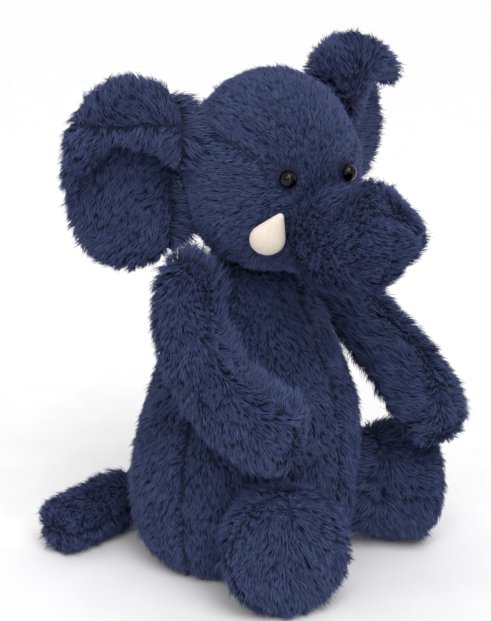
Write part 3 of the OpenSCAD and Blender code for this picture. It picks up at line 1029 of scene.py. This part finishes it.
@dataclass
class Limb(StuffedPart):
    """An arm, leg or tail: pile runs from its root to its end."""

    route: list[tuple[float, float, float]] = field(default_factory=list)
    droop: float = 0.25
    crown: float = 0.0
    root_growth: float = 0.0
    root_band: float = 16 * MM
    root_pull: float = 0.0

    def __post_init__(self) -> None:
        """Gives the limb a skin that reaches back over its joint."""
        self.skin = Skin(self.name + "_skin", self.panels + self.inner, reshape=self.reach_in)

    def reach_in(self, p: np.ndarray) -> np.ndarray:
        """Points of the skin, with those of the limb's root drawn in against the torso."""
        line = np.array(self.route) * MM
        way = unit(line[1] - line[0])
        pull = np.clip(1 - (p - line[0]) @ way / self.root_band, 0, 1) * self.root_pull
        return p - way * pull[:, None]

    def comb(self, p: np.ndarray, n: np.ndarray) -> np.ndarray:
        """Along the nearest stretch of the limb, drooping a little."""
        line = np.array(self.route) * MM
        middle = (line[1:] + line[:-1]) / 2
        way = unit(line[1:] - line[:-1])
        gap = np.linalg.norm(p[:, None] - middle[None], axis=2)
        weight = 1 / (gap**3 + 1e-9)
        total = (weight[:, :, None] * way[None]).sum(axis=1)
        end = unit(p - line[-1] - np.array([0, 0, self.crown]))
        cap = np.clip(n @ way[-1], 0, 1)[:, None]
        base = self.start_share(n)[:, None]
        way_out = unit(total) * (1 - cap) + end * cap + np.array([0, 0, -self.droop])
        return way_out * (1 - base) - way[0] * base

    def start_share(self, n: np.ndarray) -> np.ndarray:
        """How far normals n look back over the limb's root, from 0 to 1."""
        line = np.array(self.route) * MM
        return np.clip(-(n @ unit(line[1] - line[0])) * 1.6, 0, 1)

    def trim(self, p: np.ndarray, n: np.ndarray) -> np.ndarray:
        """Longer over the root, where the pile covers the joint."""
        return 1 + self.root_growth * self.start_share(n)


@dataclass
class Tusk:
    """A cream tusk: a flat teardrop of suedette, its seam round the edge not grooved."""

    side: Side

    def build(self) -> None:
        """Makes the padded tusk in the place of its CAD node."""
        node = f"tusk_{self.side.value}"
        skin = Skin(
            f"{node}_suedette",
            [node],
            voxel=0.9 * MM,
            inset=0.0,
            swell=0.3 * MM,
            groove=0.0,
            smooth=4,
        )
        body = skin.build(None)
        body.data.materials.append(FINISHES["suedette"])
        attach(body, "head")
        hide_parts(node)
        log.info("%s: %d faces", body.name, len(body.data.polygons))


FINISHES: dict[str, bpy.types.Material] = {}


# ---- Studio ----


@dataclass(frozen=True)
class Studio:
    """A pale floor, soft lights and the camera."""

    camera_at: tuple[float, float, float] = (-0.6144, -0.4302, 0.345)
    look_at: tuple[float, float, float] = (0.0, 0.0, 0.134)
    lens: float = 86.96
    floor_size: float = 12.0
    room_light: float = 0.74

    def aim(self, item: bpy.types.Object, target: tuple[float, float, float]) -> None:
        """Turns an object's -Z to a point."""
        way = Vector(target) - item.location
        item.rotation_euler = way.to_track_quat("-Z", "Y").to_euler()

    def camera(self) -> None:
        """Makes the camera."""
        data = bpy.data.cameras.new("camera")
        data.lens = self.lens
        item = bpy.data.objects.new("camera", data)
        bpy.context.scene.collection.objects.link(item)
        item.location = self.camera_at
        self.aim(item, self.look_at)
        bpy.context.scene.camera = item

    def softbox(
        self, name: str, at: tuple[float, float, float], size: float, watts: float
    ) -> None:
        """Makes one area light that looks at the toy."""
        data = bpy.data.lights.new(name, "AREA")
        data.shape = "SQUARE"
        data.size = size
        data.energy = watts
        item = bpy.data.objects.new(name, data)
        bpy.context.scene.collection.objects.link(item)
        item.location = at
        self.aim(item, (0, 0, 0.13))

    def daylight(self, way: tuple[float, float, float], angle: float, strength: float) -> None:
        """Makes one broad, far light that shines from a direction."""
        data = bpy.data.lights.new("daylight", "SUN")
        data.angle = math.radians(angle)
        data.energy = strength
        item = bpy.data.objects.new("daylight", data)
        bpy.context.scene.collection.objects.link(item)
        item.location = way
        self.aim(item, (0, 0, 0))

    def floor(self) -> None:
        """Makes the floor that the toy sits on."""
        deselect_all()
        bpy.ops.mesh.primitive_plane_add(size=self.floor_size)
        item = bpy.context.active_object
        item.name = "studio_floor"
        material, shader = new_material("floor_paper")
        tree = material.node_tree
        colours = ramp(tree, [(0.4, Shade(0.945, 0.942, 0.946)), (0.6, Shade(0.955, 0.952, 0.956))])
        tree.links.new(add_grain(tree, 30, 2), colours.inputs["Fac"])
        tree.links.new(colours.outputs["Color"], shader.inputs["Base Color"])
        shader.inputs["Roughness"].default_value = 0.8
        item.data.materials.append(material)

    def build(self) -> None:
        """Makes all of it."""
        scene = bpy.context.scene
        scene.view_settings.view_transform = "Standard"
        world = bpy.data.worlds.new("white_room")
        world.use_nodes = True
        walls = world.node_tree.nodes["Background"]
        walls.inputs["Color"].default_value = (1, 1, 1, 1)
        walls.inputs["Strength"].default_value = self.room_light
        scene.world = world
        self.camera()
        self.floor()
        self.daylight(way=(-0.55, -0.75, 1.3), angle=35, strength=1.5)
        self.softbox("window_near", at=(-1.25, -0.45, 1.05), size=0.42, watts=3.0)
        self.softbox("window_far", at=(-0.8, -1.15, 0.95), size=0.36, watts=2.5)


# ---- The toy ----

TORSO_PANELS = ["front_panel_right", "front_panel_left", "back_panel_left", "back_panel_right"]
HEAD_PANELS = ["head_gusset", "head_side_right", "head_side_left"]

# Middle lines of the limbs in millimetres, from root to end
ARM_ROUTES = {
    "right": [(-37, 2, 166), (-58, -6, 139), (-61, -18, 119), (-60, -34, 105), (-50, -66, 86)],
    "left": [(38, -5, 160), (54, -22, 138), (57.5, -38, 122), (57.5, -56, 106), (52, -92, 65)],
}
LEG_ROUTES = {
    "right": [(-26, -31, 32), (-52, -62, 33)],
    "left": [(42, -40, 32), (72, -67, 33)],
}
TAIL_ROUTE = [(-4, 70, 19), (-34, 76.5, 15.5), (-66, 81, 13)]


def build_torso_and_head() -> None:
    """Makes the torso, the head and the trunk."""
    Torso(
        "torso",
        "torso",
        "pile_fabric_torso",
        TORSO_PANELS,
        ["torso_filling"],
        cut=PileCut(length=5.2 * MM, density=2.3e6),
        skin=Skin(
            "torso_skin",
            TORSO_PANELS + ["torso_filling"],
            plug=(44.5 * MM, 1.0 * MM, 34 * MM),
        ),
        shares=4,
        clear_of={n: 3.5 * MM for n in HEAD_PANELS},
        seam_bare=1.0 * MM,
        seed=10,
    ).build()
    Head(
        "head",
        "head",
        "pile_fabric_head",
        HEAD_PANELS,
        ["head_filling"],
        cut=PileCut(
            length=4.8 * MM,
            density=2.7e6,
            rise=38,
            fall=82,
            swirl=14,
            uneven=0.14,
            width=0.4 * MM,
        ),
        shares=2,
        clear_of={"tusk_right": 0.8 * MM, "tusk_left": 0.8 * MM},
        skin=Skin("head_skin", HEAD_PANELS + ["head_filling"], groove=0.4 * MM),
        seam_parting=0.25,
        seed=20,
    ).build()
    Trunk(
        "trunk",
        "head",
        "pile_fabric_trunk",
        ["trunk_top", "trunk_underside", "trunk_tip"],
        ["trunk_filling"],
        cut=PileCut(length=5.6 * MM, swirl=30),
        clear_of={"head_filling": 1.5 * MM},
        skin=Skin(
            "trunk_skin",
            ["trunk_top", "trunk_underside", "trunk_tip", "trunk_filling"],
            groove=0.3 * MM,
        ),
        seam_parting=0.3,
        seed=30,
    ).build()


def build_ears() -> None:
    """Makes both ears."""
    for side in Side:
        s = side.value
        Ear(
            f"ear_{s}",
            f"ear_{s}",
            "pile_fabric_ear",
            [f"ear_{s}_front", f"ear_{s}_back"],
            [f"ear_{s}_pad"],
            cut=PileCut(length=5.8 * MM),
            skin=Skin(
                f"ear_{s}_skin",
                [f"ear_{s}_front", f"ear_{s}_back", f"ear_{s}_pad"],
                voxel=2.0 * MM,
                inset=0.0,
                swell=0.5 * MM,
                groove=0.5 * MM,
                smooth=3,
            ),
            side=side,
            seed=40 if side is Side.RIGHT else 50,
        ).build()


def build_limbs() -> None:
    """Makes the arms, the legs and the tail."""
    for side in Side:
        s = side.value
        Limb(
            f"arm_{s}",
            f"arm_{s}",
            "pile_fabric_arm",
            [f"arm_{s}_outer", f"arm_{s}_inner"],
            [f"arm_{s}_filling"],
            cut=PileCut(length=6.0 * MM),
            route=ARM_ROUTES[s],
            root_growth=0.7,
            seed=60 if side is Side.RIGHT else 70,
        ).build()
    for side in Side:
        s = side.value
        Limb(
            f"leg_{s}",
            f"leg_{s}",
            "pile_fabric_leg",
            [f"leg_{s}_upper", f"leg_{s}_lower", f"leg_{s}_sole"],
            [f"leg_{s}_filling"],
            cut=PileCut(length=5.8 * MM),
            route=LEG_ROUTES[s],
            droop=0.5,
            crown=20 * MM,
            root_growth=0.5,
            root_pull=(4 if side is Side.RIGHT else 6) * MM,
            seed=80 if side is Side.RIGHT else 90,
        ).build()
    Limb(
        "tail",
        "tail",
        "pile_fabric_tail",
        ["tail_upper", "tail_lower"],
        ["tail_filling"],
        cut=PileCut(length=6.0 * MM),
        route=TAIL_ROUTE,
        droop=0.1,
        root_growth=0.7,
        root_pull=5 * MM,
        seed=100,
    ).build()


def finish_cad_nodes() -> None:
    """Gives each CAD node that is still shown its own finish."""
    finishes = {
        "eye_right": "eye",
        "eye_left": "eye",
        "eye_washer_right": "washer",
        "eye_washer_left": "washer",
        "bean_pouch": "pouch",
        "base_panel": "base",
    }
    for node, key in finishes.items():
        item = frame["nodes"][node]
        item.data.materials.clear()
        item.data.materials.append(FINISHES[key])


def main() -> None:
    """Builds the toy and its studio."""
    logging.basicConfig(level=logging.INFO, format="%(message)s")
    FINISHES.update(
        pile=NAVY_PILE.make(),
        backing=NAVY_BACKING.make(),
        base=BASE_CLOTH.make(),
        pouch=POUCH_CLOTH.make(),
        suedette=CREAM_SUEDETTE.make(),
        eye=EYE_BLACK.make(),
        washer=WASHER_WHITE.make(),
    )
    Studio().build()
    build_torso_and_head()
    build_ears()
    build_limbs()
    for side in Side:
        Tusk(side).build()
    finish_cad_nodes()


if __name__ == "__main__":
    main()
